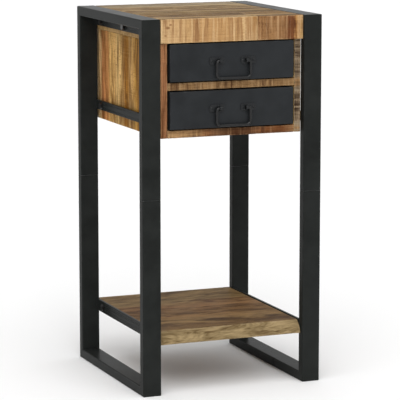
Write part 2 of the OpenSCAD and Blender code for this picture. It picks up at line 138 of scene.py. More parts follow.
def fillRamp(ramp, stops):
    while len(ramp.elements) < len(stops):
        ramp.elements.new(1.0)
    for element, (where, colour) in zip(ramp.elements, stops):
        element.position = where
        element.color = (*colour, 1)


# a new material, with the object coordinates that its pattern starts from and the surface's own normal
def newFinish(name):
    material = bpy.data.materials.new(name)
    material.use_nodes = True
    tree = material.node_tree
    tree.nodes.clear()
    coords = tree.nodes.new("ShaderNodeTexCoord")
    return material, Wire(coords.outputs["Object"]), Wire(coords.outputs["Normal"])


# moves the start of a pattern, so that pieces with other seeds differ
def seededStart(here, seed, step, first=(0, 0, 0)):
    return here.stretched((1, 1, 1), tuple(seed * own + begin for own, begin in zip(step, first)))


# the surface shader with its fixed and its varying values, and a bump of (height, depth, strength)
def closeFinish(material, here, fixed, varying, bump=None):
    values = {**fixed, **varying}
    if bump:
        height, depth, strength = bump
        values["Normal"] = here.node("ShaderNodeBump", None, {
            "Height": height, "Distance": depth, "Strength": strength})
    surface = here.node("ShaderNodeBsdfPrincipled", None, values)
    output = here.tree.nodes.new("ShaderNodeOutputMaterial")
    here.tree.links.new(surface.socket, output.inputs["Surface"])
    return material


# plain waxed wood; each board's own dictionary changes what differs, and the grain's scales are per metre
plainWood = {
    "middle": (0.34, 0.21, 0.10),       # colour of the plain wood
    "dark": (0.36, 0.29, 0.22),         # what the darkest figure multiplies it by
    "light": (1.46, 1.50, 1.58),        # and the lightest
    "spread": 0.11,                     # smaller is more contrast
    "grainShow": 1.0,                   # how much fine lines along the grain show
    "stretch": 0.045,                   # how long the grain is for its width
    "wobble": 0.6,
    "bandWander": 0.022,                # how far the border of a plank's colour strays, in metres
    "figure": 34.0,                     # broad growth bands
    "rings": 130.0,
    "fibre": 620.0,
    "pore": 950.0,
    "pores": 0.5,                       # how much they show
    "streak": 0.5,                      # dark mineral streaks along the grain
    "streakWidth": 52.0,
    "streakTone": (0.12, 0.055, 0.024),
    "paleTone": (0.50, 0.36, 0.21),
    "saw": 0.4,                         # fine blade lines across the grain
    "bars": 0.0,                        # broad blade marks with sharp ends
    "dash": 0.0,                        # short dark nicks
    "knots": (),                        # x, y, z and radius of each
    "dull": 0.56,                       # roughness of the surface
    "shine": 0.05,
    "depth": 0.0006,                    # of the relief, in metres
}

# how every wood is drawn: a noise is (detail, roughness), with a wobble for the streaks, and a fade is
# (from, to) over a noise of 0 to 1
woodDrawing = {
    "seedStep": (1.37, 0.71, 2.13),
    "seedFirst": (0, 3.1, 0),
    "warp": (2.6, 11),                  # slow bends of the grain, per metre along and across it
    "warpDepth": (0.02, 0.03),          # in metres: always, and for each unit of wobble
    "figureNoise": (4, 0.62),
    "ringNoise": (3, 0.6),
    "ringWobble": 1.4,                  # as a share of the board's wobble
    "fibreNoise": (2, 0.6),
    "fibreStretch": 0.03,
    "poreNoise": (1, 0.4),
    "poreStretch": 0.10,
    "streakNoise": (3, 0.6, 0.4),
    "streakStretch": 0.022,
    "streakShift": (7, 3, 5),
    "blotch": (11, 3, 0.55),            # scale, detail and roughness
    "figureShare": 0.46,                # shares in the pattern that shades the wood
    "ringShare": 0.36,
    "fibreShare": 0.18,
    "bandFray": 0.009,                  # how far the rings pull a plank's border, in metres
    "streakFade": (0.56, 0.68),
    "blotchFade": (0.52, 0.70),
    "blotchShow": 0.22,
    "poreFade": (0.60, 0.70),
    "poreShow": 0.7,
    "fibreFade": (0.52, 0.72),
    "fibreShow": 0.24,
    "patch": (17, 2),                   # where the blade marks gather
    "patchFade": (0.40, 0.60),
    "wearEdge": (0.35, 1.0),            # handled edges
    "wear": (90, 3),
    "wearFade": (0.38, 0.62),
    "wearShow": 0.5,
    "knotSqueeze": 0.55,                # a knot is longer along the grain
    "knotFade": (0.25, 1.25),           # in shares of its radius
    "knotShow": (0.55, 0.6),            # always, and with the rings
    "deepPore": (0.58, 0.72),
    "relief": {"fibre": 0.30, "rings": 0.16, "pore": 0.45, "saw": 0.55, "bars": 0.5},
    "rough": {"fibre": 0.22, "saw": 0.14, "wear": 0.10},
    "bump": 0.8,
}

# what a blade leaves across the grain: how many a metre along and across it, how they fade in, the least
# share of them outside the patches, and how far they darken; the ridges between them may be pale
bladeMarks = {
    "saw": {"along": 360, "across": 10, "shift": (1, 5, 2), "noise": (2, 0.7), "fade": (0.50, 0.66),
            "least": 0.45, "dark": 0.50, "ridgeFade": (0.54, 0.68), "ridge": 0.40},
    "bars": {"along": 105, "across": 6, "shift": (4, 1, 9), "noise": (2, 0.6), "fade": (0.54, 0.60),
             "least": 0.35, "dark": 0.58, "ridgeFade": (0.58, 0.63), "ridge": 0.35},
    "dash": {"along": 520, "across": 95, "shift": (3, 8, 6), "noise": (2, 0.6), "fade": (0.57, 0.66),
             "least": 0.40, "dark": 0.72},
}


def axisScale(along, across, grain):
    scale = [across] * 3
    scale[grain] = along
    return tuple(scale)


# a mark for each knot, 1 in its middle and 0 outside it
def knotMarks(here, grain, knots):
    draw = woodDrawing
    fromShare, toShare = draw["knotFade"]
    mark = None
    for x, y, z, radius in knots:
        away = here.stretched((1, 1, 1), (-x, -y, -z)).stretched(axisScale(draw["knotSqueeze"], 1, grain))
        near = away.node("ShaderNodeVectorMath", {"operation": "LENGTH"}, {0: away}, output=1)
        own = 1 - near.between(radius * fromShare, radius * toShare)
        mark = mark.most(own) if mark else own
    return mark


# grain is the axis a board runs along; bands is (axis, from, to, stops): plank colours along an axis
def woodFinish(name, grain, own, seed=0, bands=None):
    look = {**plainWood, **own}
    draw = woodDrawing
    material, here, _ = newFinish(name)
    start = seededStart(here, seed, draw["seedStep"], draw["seedFirst"])
    warp = start.stretched(axisScale(*draw["warp"], grain)).noise(1, 2)
    still, wobbling = draw["warpDepth"]
    warped = start.plus(warp.stretched(axisScale(0, still + wobbling * look["wobble"], grain)))

    def layer(scale, stretch, *noise, shift=(0, 0, 0)):
        return warped.stretched(axisScale(scale * stretch, scale, grain), shift).noise(1, *noise)

    figure = layer(look["figure"], look["stretch"], *draw["figureNoise"], look["wobble"])
    rings = layer(look["rings"], look["stretch"], *draw["ringNoise"], look["wobble"] * draw["ringWobble"])
    fibre = layer(look["fibre"], draw["fibreStretch"], *draw["fibreNoise"])
    pore = layer(look["pore"], draw["poreStretch"], *draw["poreNoise"])
    streaks = layer(look["streakWidth"], draw["streakStretch"], *draw["streakNoise"],
                    shift=draw["streakShift"])
    blotches = start.noise(*draw["blotch"])

    pattern = figure * draw["figureShare"] + rings * draw["ringShare"] + fibre * draw["fibreShare"]
    shade = pattern.between(noiseMiddle - look["spread"], noiseMiddle + look["spread"]).ramp(
        [(0.0, look["dark"]), (0.5, (1.0, 1.0, 1.0)), (1.0, look["light"])])
    if bands:
        bandAxis, low, high, stops = bands
        wander = (figure - noiseMiddle) * look["bandWander"]
        wavy = here.parts()[bandAxis] + wander + (rings - noiseMiddle) * draw["bandFray"]
        colour = ((wavy - low) / (high - low)).ramp(stops).blendTo(shade, 1.0, "MULTIPLY")
    else:
        colour = shade.blendTo((*look["middle"], 1), 1.0, "MULTIPLY")

    darkest = (*look["streakTone"], 1)
    pale = (*look["paleTone"], 1)
    fine = look["grainShow"]
    colour = colour.blendTo(darkest, streaks.between(*draw["streakFade"]) * look["streak"])
    colour = colour.blendTo(pale, (1 - blotches).between(*draw["blotchFade"]) * draw["blotchShow"])
    holes = pore.between(*draw["poreFade"]) * look["pores"]
    colour = colour.blendTo(darkest, holes * draw["poreShow"] * fine)
    colour = colour.blendTo(darkest, (1 - fibre).between(*draw["fibreFade"]) * draw["fibreShow"] * fine)

    patchy = start.noise(*draw["patch"]).between(*draw["patchFade"])
    strokes = {}
    marks = {}
    for kind, blade in bladeMarks.items():
        spacing = axisScale(blade["along"], blade["across"], grain)
        strokes[kind] = start.stretched(spacing, blade["shift"]).noise(1, *blade["noise"])
        gathered = blade["least"] + patchy * (1 - blade["least"])
        marks[kind] = strokes[kind].between(*blade["fade"]) * gathered * look[kind]
    for kind, blade in bladeMarks.items():
        colour = colour.blendTo(darkest, marks[kind] * blade["dark"])
    for kind, blade in bladeMarks.items():
        if "ridge" in blade:
            ridge = (1 - strokes[kind]).between(*blade["ridgeFade"])
            colour = colour.blendTo(pale, ridge * look[kind] * blade["ridge"])
    if look["knots"]:
        always, ringed = draw["knotShow"]
        colour = colour.blendTo(darkest, knotMarks(here, grain, look["knots"]) * (always + rings * ringed))

    # handled edges are paler and smoother
    edge = here.node("ShaderNodeAttribute", {"attribute_name": "edgeWear"}, output=2)
    worn = edge.between(*draw["wearEdge"]) * start.noise(*draw["wear"]).between(*draw["wearFade"])
    colour = colour.blendTo(pale, worn * draw["wearShow"])

    share = draw["rough"]
    rough = look["dull"] + (fibre - noiseMiddle) * share["fibre"] + marks["saw"] * share["saw"]
    rough = rough - worn * share["wear"]
    share = draw["relief"]
    height = fibre * share["fibre"] + rings * share["rings"] - pore.between(*draw["deepPore"]) * share["pore"]
    height = height - marks["saw"] * share["saw"] - marks["bars"] * share["bars"]
    return closeFinish(material, here, {"Specular IOR Level": look["shine"]},
                       {"Base Color": colour, "Roughness": rough}, (height, look["depth"], draw["bump"]))


# painted steel; a noise is (scale per metre, detail, roughness), a fade is (from, to) over a noise of 0 to 1
plainCoat = {
    "seed": 0,
    "seedStep": (1.9, 0.7, 1.1),
    "ior": 1.5,
    "hammered": 0.0,                    # how deep the hammer's dents are
    "dents": (210, 2, 0.5),
    "dentDepth": 4,                     # how much deeper the relief is when fully hammered
    "peel": (750.0, 2, 0.55),           # the fine skin of the powder coat
    "peelDepth": 0.00012,
    "dust": (22.0, 4, 0.6),
    "dustFade": (0.3, 0.7),
    "dustShares": (0.82, 1.16),         # the tone where there is least and most dust
    "drift": (3.0, 2),
    "driftFade": (0.35, 0.7),
    "driftShare": 1.3,
    "driftShow": 0.5,
    "scratchStretch": (60.0, 36.0, 4.0),
    "scratch": (9, 2, 0.7),
    "scratchFade": (0.72, 0.80),
    "scratchShow": 0.10,
    "rimFade": (0.05, 0.28),            # where an edge is rounded
    # patches on the rounded edges: rubbed paint, and a painted highlight
    "rubAndPaintedHighlight": (140, 4, 0.7),
    "rubAndHighlightFade": (0.46, 0.66),
    "rough": {"dust": 0.16, "peel": 0.08, "rubAndPaintedHighlight": 0.12},
    "relief": {"peel": 0.5, "scratch": 0.25},
    "bump": 0.7,
}

# the rubbed tone is the colour of bare or rubbed paint, and worn how much of it the rounded edges show,
# partly as rubbed paint and partly as a painted highlight
coats = {
    "frameCoat": {"tone": (0.0170, 0.0184, 0.0174), "rubbedAndHighlightTone": (0.052, 0.054, 0.052), "worn": 0.45,
                  "dull": 0.30, "shine": 0.5, "ior": 1.10},
    "drawerLacquer": {"tone": (0.0180, 0.0197, 0.0214), "rubbedAndHighlightTone": (0.085, 0.092, 0.098), "worn": 0.7,
                      "dull": 0.36, "shine": 0.5, "ior": 1.2, "seed": 3},
    "handleIron": {"tone": (0.0060, 0.0062, 0.0064), "rubbedAndHighlightTone": (0.080, 0.080, 0.080), "worn": 0.20,
                   "dull": 0.30, "shine": 0.34, "hammered": 0.30, "seed": 5},
    "plateIron": {"tone": (0.0105, 0.0115, 0.0125), "rubbedAndHighlightTone": (0.070, 0.072, 0.074), "worn": 0.35,
                  "dull": 0.36, "shine": 0.24, "hammered": 0.20, "seed": 6},
    "boltSteel": {"tone": (0.012, 0.012, 0.0122), "rubbedAndHighlightTone": (0.14, 0.14, 0.14), "worn": 0.6,
                  "dull": 0.32, "shine": 0.34, "seed": 7},
}


def shareOf(tone, share):
    return tuple(value * share for value in tone)


def paintFinish(name):
    look = {**plainCoat, **coats[name]}
    material, here, normal = newFinish(name)
    start = seededStart(here, look["seed"], look["seedStep"])
    peel = start.noise(*look["peel"])
    cloud = start.noise(*look["dust"])
    drift = start.noise(*look["drift"]).between(*look["driftFade"])
    scratch = start.stretched(look["scratchStretch"]).noise(*look["scratch"]).between(*look["scratchFade"])
    dents = start.noise(*look["dents"])
    across, deep, up = [abs(part) for part in normal.parts()]
    rim = (1 - across.most(deep).most(up)).between(*look["rimFade"])
    # rounded edges take the rubbed tone in patches: partly rubbed paint, partly a painted highlight along the
    # edges
    rubAndPaintedHighlight = rim * start.noise(*look["rubAndPaintedHighlight"]).between(*look["rubAndHighlightFade"]) * look["worn"]

    least, most = look["dustShares"]
    tone = look["tone"]
    base = cloud.between(*look["dustFade"]).ramp([(0.0, shareOf(tone, least)), (1.0, shareOf(tone, most))])
    base = base.blendTo((*shareOf(tone, look["driftShare"]), 1), drift * look["driftShow"])
    # the rounded edges turn paler: rubbed paint and a painted highlight
    base = base.blendTo((*look["rubbedAndHighlightTone"], 1), rubAndPaintedHighlight)
    base = base.blendTo((*look["rubbedAndHighlightTone"], 1), scratch * look["scratchShow"])

    share = look["rough"]
    rough = look["dull"] + (cloud - noiseMiddle) * share["dust"] + (peel - noiseMiddle) * share["peel"]
    rough = rough - rubAndPaintedHighlight * share["rubAndPaintedHighlight"]
    share = look["relief"]
    height = peel * share["peel"] + dents * look["hammered"] - scratch * share["scratch"]
    depth = look["peelDepth"] * (1 + look["dentDepth"] * look["hammered"])
    return closeFinish(material, here, {"Specular IOR Level": look["shine"], "IOR": look["ior"]},
                       {"Base Color": base, "Roughness": rough}, (height, depth, look["bump"]))


# zinc-plated steel that only shows at an open seam or under a drawer
zincLook = {
    "spangle": 260.0,                   # crystals a metre
    "spangleShare": 0.35,
    "brushStretch": (300, 300, 14),
    "brush": (1, 3, 0.6),               # scale, detail and roughness
    "brushShare": 0.65,
    "tones": [(0.2, (0.30, 0.31, 0.32)), (0.8, (0.56, 0.56, 0.55))],
    "dull": (0.30, 0.22),              # always, and with the brush lines
    "depth": 0.0001,
    "bump": 0.4,
}


def zincFinish(name):
    look = zincLook
    material, here, _ = newFinish(name)
    spangle = here.node("ShaderNodeTexVoronoi", None, {"Vector": here, "Scale": look["spangle"]}, output=1)
    grey = spangle.parts()[0]
    brush = here.stretched(look["brushStretch"]).noise(*look["brush"])
    colour = (grey * look["spangleShare"] + brush * look["brushShare"]).ramp(look["tones"])
    always, brushed = look["dull"]
    return closeFinish(material, here, {"Metallic": 1.0},
                       {"Base Color": colour, "Roughness": always + brush * brushed},
                       (brush, look["depth"], look["bump"]))


# noise for shaping meshes, from 0 to 1; it repeats after as many cells as its table holds
noiseCells = 32
noiseFirst = 100.0              # the cell that lies at the frame's zero


def softNoise(points, size, seed):
    table = np.random.default_rng(seed).random((noiseCells, noiseCells, noiseCells))
    spot = points / np.asarray(size) + noiseFirst
    cell = np.floor(spot).astype(int)
    part = spot - cell
    part = part * part * (3 - 2 * part)
    total = np.zeros(len(points))
    for corner in np.ndindex(2, 2, 2):
        weight = np.ones(len(points))
        index = []
        for axis in range(3):
            weight *= part[:, axis] if corner[axis] else 1 - part[:, axis]
            index.append((cell[:, axis] + corner[axis]) % noiseCells)
        total += weight * table[tuple(index)]
    return total


# boards, in metres
boardShape = {
    "step": 0.0045,             # mesh spacing
    "outerRound": 0.0014,       # rounding of an edge that shows
    "seamRound": 0.00045,       # rounding of an edge glued to the next board
    "seamReach": 0.003,         # how near a seam the board isn't chipped
    "warp": 0.00022,            # unevenness of a face
    "warpLength": 0.035,
    "fineWarp": 0.5,            # a smaller unevenness, as a share of the first
    "fineWarpLength": 0.011,
    "wearReach": 0.005,         # how far from an edge it is worn
    "chip": 0.0011,             # deepest chip in an outer edge
    "chipLength": 0.009,
    "chipFrom": 0.66,           # higher is fewer chips
    "chipAreas": (0.04, 0.45),  # size of the areas with chips, and where they begin
}


# grid lines from low to high, close together where the edges are rounded
def gridLines(low, high, roundLow, roundHigh, step):
    turns = 1 - np.tan(np.radians([45, 30, 15]))
    count = max(2, int(round((high - low - roundLow - roundHigh) / step)))
    inner = np.linspace(low + roundLow, high - roundHigh, count + 1)
    return np.concatenate([low + roundLow * turns, inner, (high - roundHigh * turns)[::-1]])


# every quad of a lattice's skin; openSide leaves one side out, as (axis, end)
def latticeSkin(lines, openSide=None):
    counts = [len(line) for line in lines]
    places = np.indices(counts)
    atEnd = [(index == 0) | (index == count - 1) for index, count in zip(places, counts)]
    onSkin = atEnd[0] | atEnd[1] | atEnd[2]
    if openSide:
        axis, end = openSide
        own = places[axis] == (0 if end < 0 else counts[axis] - 1)
        others = [atEnd[other] for other in range(3) if other != axis]
        onSkin &= ~own | others[0] | others[1]
    number = np.full(counts, -1)
    number[onSkin] = np.arange(onSkin.sum())
    points = np.stack([line[index[onSkin]] for line, index in zip(lines, places)], axis=1)
    faces = []
    for axis in range(3):
        for end in (-1, 1):
            if openSide == (axis, end):
                continue
            sheet = np.take(number, 0 if end < 0 else -1, axis=axis)
            corners = [sheet[:-1, :-1], sheet[1:, :-1], sheet[1:, 1:], sheet[:-1, 1:]]
            quads = np.stack(corners, axis=-1).reshape(-1, 4)
            outward = (end > 0) == (axis != axisY)
            faces.append(quads if outward else quads[:, ::-1])
    return points, np.concatenate(faces)


# rounds a block's edges; rounds holds a (low, high) pair for each axis
def roundBlock(points, low, high, rounds):
    toLow = np.array([pair[0] for pair in rounds])
    toHigh = np.array([pair[1] for pair in rounds])
    core = np.clip(points, low + toLow, high - toHigh)
    away = points - core
    radius = np.where(away > 0, toHigh, toLow)
    share = away / radius
    length = np.linalg.norm(share, axis=1, keepdims=True)
    normal = share / np.maximum(length, 1e-9)       # a point inside the core has no direction
    return core + normal * radius, normal


# a new object that is in the scene
def linked(name, data):
    item = bpy.data.objects.new(name, data)
    bpy.context.scene.collection.objects.link(item)
    return item


# a smooth piece from lists of points and faces
def meshPiece(name, points, faces, wear=None):
    mesh = bpy.data.meshes.new(name)
    mesh.from_pydata(points, [], faces)
    mesh.polygons.foreach_set("use_smooth", [True] * len(mesh.polygons))
    if wear is not None:
        layer = mesh.attributes.new("edgeWear", "FLOAT", "POINT")
        layer.data.foreach_set("value", wear.astype(np.float32))
    mesh.validate()
    mesh.update()
    return linked(name, mesh)


# a sawn board in place of a CAD one; seams lists the sides glued to a neighbour, as (axis, end)
def boardPiece(name, node, seed, seams=(), bend=None):
    shape = boardShape
    low, high = (np.array(corner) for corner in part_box(node))
    rounds = [[shape["seamRound"] if (axis, end) in seams else shape["outerRound"] for end in (-1, 1)]
              for axis in range(3)]
    lines = [gridLines(low[axis], high[axis], *rounds[axis], shape["step"]) for axis in range(3)]
    flat, faces = latticeSkin(lines)
    nearest = np.sort(np.minimum(flat - low, high - flat), axis=1)[:, 1]
    wear = np.clip(1 - nearest / shape["wearReach"], 0, 1)
    points, normal = roundBlock(flat, low, high, rounds)
    uneven = softNoise(flat, shape["warpLength"], seed)
    uneven += shape["fineWarp"] * softNoise(flat, shape["fineWarpLength"], seed + 1)
    seamNear = np.zeros(len(flat), bool)
    for axis, end in seams:
        side = low[axis] if end < 0 else high[axis]
        seamNear |= np.abs(flat[:, axis] - side) < shape["seamReach"]
    deep = np.clip(softNoise(flat, shape["chipLength"], seed + 2) - shape["chipFrom"], 0, 1)
    chips = deep / (1 - shape["chipFrom"])
    areaLength, areaFrom = shape["chipAreas"]
    chipped = softNoise(flat, areaLength, seed + 3) > areaFrom
    sunk = shape["warp"] * uneven + np.where(seamNear, 0, shape["chip"] * chips * wear ** 2 * chipped)
    points = points - normal * sunk[:, None]
    if bend:
        points = bend(points, low, high)
    return meshPiece(name, points.tolist(), faces.tolist(), wear)


# puts a finished piece on its body, with its finish, in the place of its CAD nodes
def place(piece, body, material, slotName, *replaced):
    piece.data.materials.clear()
    piece.data.materials.append(material)
    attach(piece, body)
    if replaced:
        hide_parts(*replaced)


# the top: four glued strips, the front one in two lengths
topLook = {
    # upper faces: brown-grey bands along the boards
    "front": {"streak": 0.80, "saw": 0.30, "streakWidth": 26.0, "figure": 17.0, "rings": 58.0, "wobble": 1.5,
              "spread": 0.060},
    "second": {"streak": 0.90, "saw": 0.30, "streakWidth": 20.0, "figure": 15.0, "rings": 50.0, "wobble": 1.8,
               "spread": 0.055},
    "third": {"streak": 0.85, "saw": 0.30, "streakWidth": 22.0, "figure": 16.0, "rings": 54.0, "wobble": 1.6,
              "spread": 0.055},
    "back": {"streak": 0.80, "saw": 0.30, "streakWidth": 24.0, "figure": 18.0, "rings": 60.0, "wobble": 1.5,
             "spread": 0.060},
    # their colours from the front edge of each board to its back edge
    "frontTones": [(0.00, (0.310, 0.200, 0.088)), (0.42, (0.296, 0.191, 0.084)),
                   (0.52, (0.170, 0.095, 0.031)), (1.00, (0.175, 0.100, 0.033))],
    "secondTones": [(0.00, (0.150, 0.089, 0.032)), (0.45, (0.152, 0.092, 0.033)),
                    (0.60, (0.275, 0.189, 0.084)), (1.00, (0.268, 0.183, 0.082))],
    "thirdTones": [(0.00, (0.295, 0.202, 0.088)), (0.30, (0.325, 0.222, 0.096)),
                   (0.62, (0.300, 0.202, 0.092)), (1.00, (0.290, 0.198, 0.094))],
    "backTones": [(0.00, (0.262, 0.199, 0.114)), (0.50, (0.245, 0.186, 0.106)),
                  (1.00, (0.190, 0.150, 0.090))],
    "ends": {"middle": (0.42, 0.26, 0.105), "paleTone": (0.44, 0.28, 0.12), "streak": 0.1, "saw": 0.2,
             "spread": 0.30, "grainShow": 0.3},
    # the front board's sawn face: pale to the left of the joint, reddish to the right
    "paleFace": {"streak": 0.0, "saw": 1.1, "bars": 0.95, "dash": 0.35, "spread": 0.50, "grainShow": 0.05,
                 "pores": 0.10, "paleTone": (0.66, 0.46, 0.25), "streakTone": (0.22, 0.105, 0.042),
                 "knots": ((-0.143, -0.197, 0.762, 0.0035), (-0.137, -0.197, 0.768, 0.0022),
                           (-0.148, -0.197, 0.746, 0.0020))},
    "redFace": {"streak": 0.1, "saw": 1.2, "bars": 1.2, "dash": 1.3, "spread": 0.40, "grainShow": 0.1,
                "streakTone": (0.085, 0.028, 0.012), "paleTone": (0.52, 0.33, 0.175)},
    # and its colours from left to right
    "paleFaceTones": [
        (0.00, (0.52, 0.34, 0.17)), (0.10, (0.50, 0.31, 0.145)), (0.30, (0.47, 0.285, 0.125)),
        (0.36, (0.33, 0.175, 0.072)), (0.39, (0.34, 0.185, 0.075)), (0.42, (0.46, 0.265, 0.112)),
        (0.84, (0.40, 0.225, 0.090)), (0.865, (0.56, 0.37, 0.180)), (0.885, (0.30, 0.150, 0.052)),
        (1.00, (0.29, 0.145, 0.048)),
    ],
    "redFaceTones": [
        (0.00, (0.28, 0.144, 0.058)), (0.30, (0.285, 0.150, 0.061)), (0.62, (0.225, 0.110, 0.045)),
        (0.70, (0.150, 0.055, 0.021)), (0.80, (0.160, 0.060, 0.022)), (0.84, (0.38, 0.185, 0.060)),
        (0.94, (0.42, 0.245, 0.092)), (1.00, (0.46, 0.310, 0.136)),
    ],
}


# another material for the faces of a piece that look one way, forward unless told otherwise; least is how
# squarely they look that way
def frontFaces(piece, finish, axis=axisY, toward=-1, least=0.7):
    piece.data.materials.append(finish)
    for face in piece.data.polygons:
        if face.normal[axis] * toward > least:
            face.material_index = len(piece.data.materials) - 1


def buildTop():
    look = topLook
    plan = [
        # node, upper face, slot, seed, glued sides, sawn front
        ("top_front_left_board", "front", "top_wood_pale", 3, [(axisX, 1), (axisY, 1)], "paleFace"),
        ("top_front_right_board", "front", "top_wood_brown", 8, [(axisX, -1), (axisY, 1)], "redFace"),
        ("top_second_board", "second", "top_wood_tan", 14, [(axisY, -1), (axisY, 1)], None),
        ("top_third_board", "third", "top_wood_tan", 21, [(axisY, -1), (axisY, 1)], None),
        ("top_back_board", "back", "top_wood_pale", 27, [(axisY, -1)], None),
    ]
    for node, upper, slotName, seed, seams, face in plan:
        piece = boardPiece(node.replace("_", "-") + ".look", node, seed, seams)
        low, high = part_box(node)
        tones = (axisY, low.y, high.y, look[upper + "Tones"])
        place(piece, "table", woodFinish(node + "Upper", axisX, look[upper], seed, tones), slotName, node)
        if face:
            tones = (axisX, low.x, high.x, look[face + "Tones"])
            frontFaces(piece, woodFinish(node + "Face", axisX, look[face], seed + 60, tones))
        ends = woodFinish(node + "End", axisX, look["ends"], seed + 80)
        for toward in (-1, 1):
            frontFaces(piece, ends, axisX, toward)
    print("top built")


# the cabinet: side panels of upright planks, with floor, divider and back
greyEdge = (0.185, 0.130, 0.080)
warmEdge = (0.250, 0.140, 0.060)
cabinetLook = {
    # plank colours from the back to the front of a side panel, as shares of its depth
    "planks": [
        (0.00, (0.612, 0.410, 0.186)), (0.07, (0.592, 0.356, 0.156)), (0.095, (0.449, 0.178, 0.062)),
        (0.19, (0.490, 0.216, 0.070)), (0.215, (0.653, 0.389, 0.132)), (0.30, (0.561, 0.324, 0.110)),
        (0.33, (0.551, 0.356, 0.138)), (0.42, (0.632, 0.378, 0.132)), (0.455, (0.296, 0.119, 0.014)),
        (0.505, (0.286, 0.119, 0.013)), (0.53, (0.490, 0.292, 0.108)), (0.63, (0.428, 0.221, 0.043)),
        (0.66, (0.235, 0.102, 0.012)), (0.70, (0.347, 0.167, 0.030)), (0.80, (0.449, 0.259, 0.072)),
        (1.00, (0.510, 0.324, 0.126)),
    ],
    "panel": {"streak": 0.55, "saw": 0.40, "dash": 0.80, "spread": 0.085, "wobble": 1.5, "grainShow": 0.7,
              "figure": 20.0, "rings": 64.0, "stretch": 0.085, "streakWidth": 34.0,
              "streakTone": (0.145, 0.062, 0.012), "paleTone": (0.54, 0.36, 0.13), "dark": (0.42, 0.34, 0.24),
              "knots": ((-0.1565, 0.062, 0.676, 0.004), (-0.1565, 0.048, 0.640, 0.003),
                        (-0.1565, 0.012, 0.600, 0.005), (0.1565, -0.055, 0.655, 0.005),
                        (0.1565, 0.085, 0.610, 0.004))},
    "leftEdge": {"middle": (0.275, 0.120, 0.052), "saw": 0.35, "bars": 0.15, "streak": 0.35, "spread": 0.11,
                 "paleTone": (0.40, 0.24, 0.12)},
    "rightEdge": {"bandWander": 0.001, "saw": 1.2, "bars": 1.6, "dash": 0.8, "streak": 0.3,
                  "streakTone": (0.035, 0.020, 0.012), "paleTone": (0.30, 0.235, 0.155), "spread": 0.10},
    # the right side's front edge from its foot up: warm at the floor and at the divider
    "rightEdgeTones": [(0.00, warmEdge), (0.075, warmEdge), (0.090, greyEdge), (0.490, greyEdge),
                       (0.502, warmEdge), (0.580, warmEdge), (0.592, greyEdge), (1.00, greyEdge)],
    "divider": {"middle": (0.222, 0.125, 0.052), "saw": 1.2, "bars": 1.3, "dash": 1.0, "streak": 0.15,
                "grainShow": 0.3, "streakTone": (0.075, 0.032, 0.013), "paleTone": (0.42, 0.275, 0.145),
                "spread": 0.12},
    "floor": {"middle": (0.190, 0.085, 0.038), "saw": 0.8, "bars": 0.9, "dash": 0.7, "streak": 0.4,
              "streakTone": (0.050, 0.018, 0.009), "paleTone": (0.32, 0.185, 0.095), "spread": 0.11},
    # the floor board's colours from left to right
    "floorTones": [
        (0.00, (0.36, 0.210, 0.090)), (0.22, (0.33, 0.190, 0.080)), (0.30, (0.19, 0.085, 0.033)),
        (0.45, (0.080, 0.031, 0.011)), (0.62, (0.098, 0.038, 0.014)), (0.72, (0.148, 0.053, 0.016)),
        (0.92, (0.158, 0.058, 0.019)), (1.00, (0.24, 0.125, 0.055)),
    ],
    "back": {"middle": (0.30, 0.185, 0.088), "saw": 0.3, "streak": 0.55},
}


def buildCabinet():
    look = cabinetLook
    low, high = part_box("cabinet_left_side")
    planks = (axisY, high.y, low.y, look["planks"])
    edgeTones = (axisZ, low.z, high.z, look["rightEdgeTones"])
    for side, seed, tones in (("left", 5, None), ("right", 11, edgeTones)):
        node = f"cabinet_{side}_side"
        piece = boardPiece(f"cabinet-{side}-side.look", node, seed)
        panel = woodFinish(node + "Panel", axisZ, look["panel"], seed, planks)
        place(piece, "table", panel, "cabinet_wood", node)
        frontFaces(piece, woodFinish(node + "Edge", axisZ, look[side + "Edge"], seed + 40, tones))
    low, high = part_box("cabinet_floor")
    floorTones = (axisX, low.x, high.x, look["floorTones"])
    for node, slotName, seed, tones in (
            ("cabinet_floor", "cabinet_wood_dark", 31, floorTones),
            ("cabinet_divider", "cabinet_wood", 36, None),
            ("cabinet_back_panel", "cabinet_wood", 44, None)):
        own = look[node.split("_")[1]]
        piece = boardPiece(node.replace("_", "-") + ".look", node, seed)
        place(piece, "table", woodFinish(node + "Finish", axisX, own, seed, tones), slotName, node)
    print("cabinet built")


# the shelf: its front follows the tree's own edge
shelfLook = {
    "wave": 0.0042,             # how far the live edge wanders, in metres
    "waveLength": 0.062,
    "waveShare": 0.35,          # share of the wave at the underside; the rest grows upwards
    "ripple": 0.0019,
    "rippleLength": 0.019,
    "belly": 0.0024,            # bulge of the live edge between its two lines
    "lean": 1.7,                # how late the edge leans back on its way up
    "upright": 0.4,             # how much the wander changes with height
    "upper": {"bandWander": 0.16, "streak": 0.32, "streakWidth": 10.0, "saw": 0.1, "wobble": 2.2,
              "grainShow": 0.45, "stretch": 0.24, "figure": 10.0, "rings": 30.0, "spread": 0.095,
              "dark": (0.44, 0.37, 0.32), "streakTone": (0.080, 0.034, 0.015),
              "paleTone": (0.27, 0.185, 0.098),
              "knots": ((0.055, 0.062, 0.132, 0.010), (-0.085, -0.05, 0.132, 0.007))},
    # the upper face's colours from front to back
    "upperTones": [
        (0.00, (0.135, 0.078, 0.028)), (0.16, (0.100, 0.054, 0.019)), (0.24, (0.175, 0.105, 0.040)),
        (0.38, (0.170, 0.092, 0.033)), (0.50, (0.135, 0.068, 0.024)), (0.62, (0.195, 0.100, 0.038)),
        (0.74, (0.180, 0.116, 0.047)), (0.90, (0.165, 0.101, 0.040)), (1.00, (0.200, 0.128, 0.050)),
    ],
    "edge": {"middle": (0.235, 0.168, 0.082), "streak": 0.35, "streakWidth": 16.0, "saw": 0.0, "wobble": 2.6,
             "stretch": 0.30, "figure": 16.0, "rings": 36.0, "spread": 0.13, "grainShow": 0.25,
             "streakTone": (0.085, 0.045, 0.021), "paleTone": (0.42, 0.33, 0.20), "depth": 0.0016},
    "edgeLeast": 0.45,          # how squarely a face looks forward to count as the live edge
}


